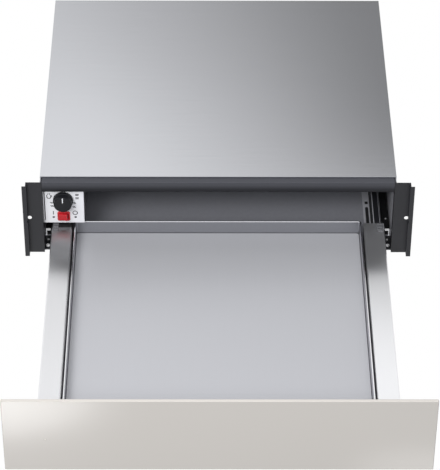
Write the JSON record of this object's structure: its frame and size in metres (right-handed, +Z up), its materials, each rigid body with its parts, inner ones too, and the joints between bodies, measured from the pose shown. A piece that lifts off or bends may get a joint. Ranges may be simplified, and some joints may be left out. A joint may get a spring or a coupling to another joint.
{
  "type": "built-in warming drawer",
  "caption": "Built-in warming drawer: steel housing with fixing brackets, controls behind the front, and a full-extension drawer with a glass front, tray and heated floor plate.",
  "frame": {"origin": "centre of the housing's underside, where it stands on the niche floor", "axes": "+X to the right seen from the front, +Y to the back, +Z up; the drawer is pulled right out, towards -Y"},
  "size_m": [0.595, 0.99, 0.14],
  "materials": {
    "brushed_steel": "brushed across, satin",
    "galvanised_steel": "plain zinc-coated sheet",
    "dark_paint": "satin anthracite powder coat",
    "polished_steel": "polished",
    "runner_steel": "bright zinc plate",
    "greige_glass": "gloss, back-painted greige",
    "satin_plate": "satin, grey, toughened",
    "white_plastic": "satin moulded",
    "black_plastic": "satin moulded",
    "red_plastic": "gloss, lit from inside",
    "grey_plastic": "satin moulded",
    "rubber": "matt",
    "insulation": "pressed mineral fibre",
    "heater_sheath": "annealed sheath",
    "cage_brass": "pressed strip",
    "spring_steel": "drawn wire",
    "light_lens": "clear lens"
  },
  "bodies": {
    "housing": {"base_plate": "galvanised_steel", "top_cover": "brushed_steel", "rear_wall": "galvanised_steel", "front_bar": "dark_paint", "control_fascia": "white_plastic", "control_box": "grey_plastic", "selector_switch": "grey_plastic", "rocker_switch": "red_plastic", "latch_body": "grey_plastic", "latch_spring": "spring_steel", "terminal_box": "galvanised_steel", "terminal_cover": "galvanised_steel", "terminal_strip": "white_plastic", "cable_gland": "black_plastic", "left_side_wall": "galvanised_steel", "left_fixing_bracket": "dark_paint", "left_runner_bracket": "runner_steel", "left_fixed_rail": "runner_steel", "left_side_tab": "runner_steel", "left_base_screw": "runner_steel", "left_base_rivet": "runner_steel", "right_side_wall": "galvanised_steel", "right_fixing_bracket": "dark_paint", "right_runner_bracket": "runner_steel", "right_fixed_rail": "runner_steel", "right_side_tab": "runner_steel", "right_base_screw": "runner_steel", "right_base_rivet": "runner_steel"},
    "drawer": {"front_glass": "greige_glass", "backing_pan": "galvanised_steel", "indicator_lens": "light_lens", "tray": "polished_steel", "floor_plate": "satin_plate", "base_pan": "galvanised_steel", "insulation_board": "insulation", "heating_element": "heater_sheath", "floor_thermostat": "galvanised_steel", "junction_box": "black_plastic", "lead_grommet": "rubber", "latch_striker": "grey_plastic", "left_side_profile": "polished_steel", "left_profile_catch": "grey_plastic", "left_front_bracket": "galvanised_steel", "left_drawer_rail": "runner_steel", "left_bumper": "rubber", "right_side_profile": "polished_steel", "right_profile_catch": "grey_plastic", "right_front_bracket": "galvanised_steel", "right_drawer_rail": "runner_steel", "right_bumper": "rubber"},
    "middle_rails": {"left_middle_rail": "runner_steel", "right_middle_rail": "runner_steel"},
    "outer_ball_cages": {"left_outer_ball_cage": "cage_brass", "right_outer_ball_cage": "cage_brass"},
    "inner_ball_cages": {"left_inner_ball_cage": "cage_brass", "right_inner_ball_cage": "cage_brass"},
    "selector_knob": {"selector_knob": "black_plastic"},
    "rocker_button": {"rocker_button": "red_plastic"},
    "latch_plunger": {"latch_plunger": "black_plastic"}
  },
  "joints": [
    {"name": "drawer_slide", "type": "slide", "parent": "housing", "child": "drawer", "axis": [0, 1, 0], "range_m": [0, 0.442]},
    {"name": "middle_rails_slide", "type": "slide", "parent": "housing", "child": "middle_rails", "axis": [0, 1, 0], "range_m": [0, 0.221]},
    {"name": "outer_cages_slide", "type": "slide", "parent": "housing", "child": "outer_ball_cages", "axis": [0, 1, 0], "range_m": [0, 0.1105]},
    {"name": "inner_cages_slide", "type": "slide", "parent": "housing", "child": "inner_ball_cages", "axis": [0, 1, 0], "range_m": [0, 0.3315]},
    {"name": "selector_turn", "type": "hinge", "parent": "housing", "child": "selector_knob", "pos_m": [-0.2363, -0.245, 0.0972], "axis": [0, 1, 0], "range_deg": [-125, 125]},
    {"name": "rocker_tip", "type": "hinge", "parent": "housing", "child": "rocker_button", "pos_m": [-0.2363, -0.235, 0.0647], "axis": [0, 0, 1], "range_deg": [0, 14]},
    {"name": "latch_push", "type": "slide", "parent": "housing", "child": "latch_plunger", "axis": [0, 1, 0], "range_m": [0, 0.004], "stiffness_N_per_m": 300, "springref_m": -0.004, "deforming": ["latch_spring"]}
  ],
  "couplings": [
    {"joint": "middle_rails_slide", "follows": "drawer_slide", "ratio": 0.5},
    {"joint": "outer_cages_slide", "follows": "drawer_slide", "ratio": 0.25},
    {"joint": "inner_cages_slide", "follows": "drawer_slide", "ratio": 0.75}
  ]
}
